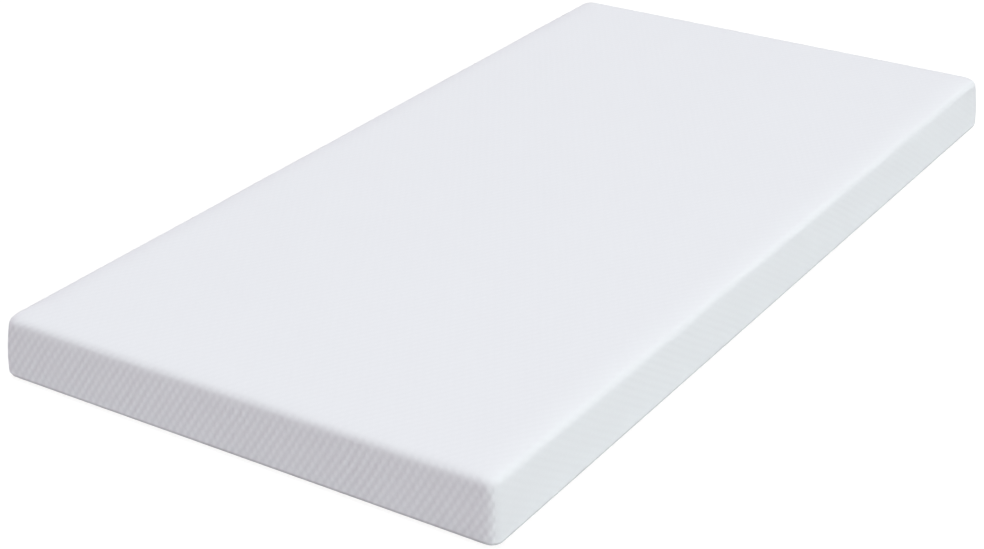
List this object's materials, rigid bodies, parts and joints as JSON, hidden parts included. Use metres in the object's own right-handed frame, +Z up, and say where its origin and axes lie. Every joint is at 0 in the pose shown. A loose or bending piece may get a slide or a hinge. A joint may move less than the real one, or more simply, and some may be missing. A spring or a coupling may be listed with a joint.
{
  "type": "mattress cover on a mattress",
  "caption": "Thin rectangular foam cot mattress dressed in a smooth one-piece white knit cover that turns in under its foot edges to an open, hemmed underside.",
  "frame": {"origin": "on the floor, under the middle of the mattress", "axes": "+Z up, +Y along the length of the mattress, +X across its width"},
  "size_m": [0.6, 1.19, 0.074],
  "materials": {
    "knit": "matte white stretch knit with a low raised diamond lattice",
    "foam": "matte off-white foam"
  },
  "bodies": {
    "root": {"cover": "knit", "mattress": "foam"}
  },
  "joints": []
}
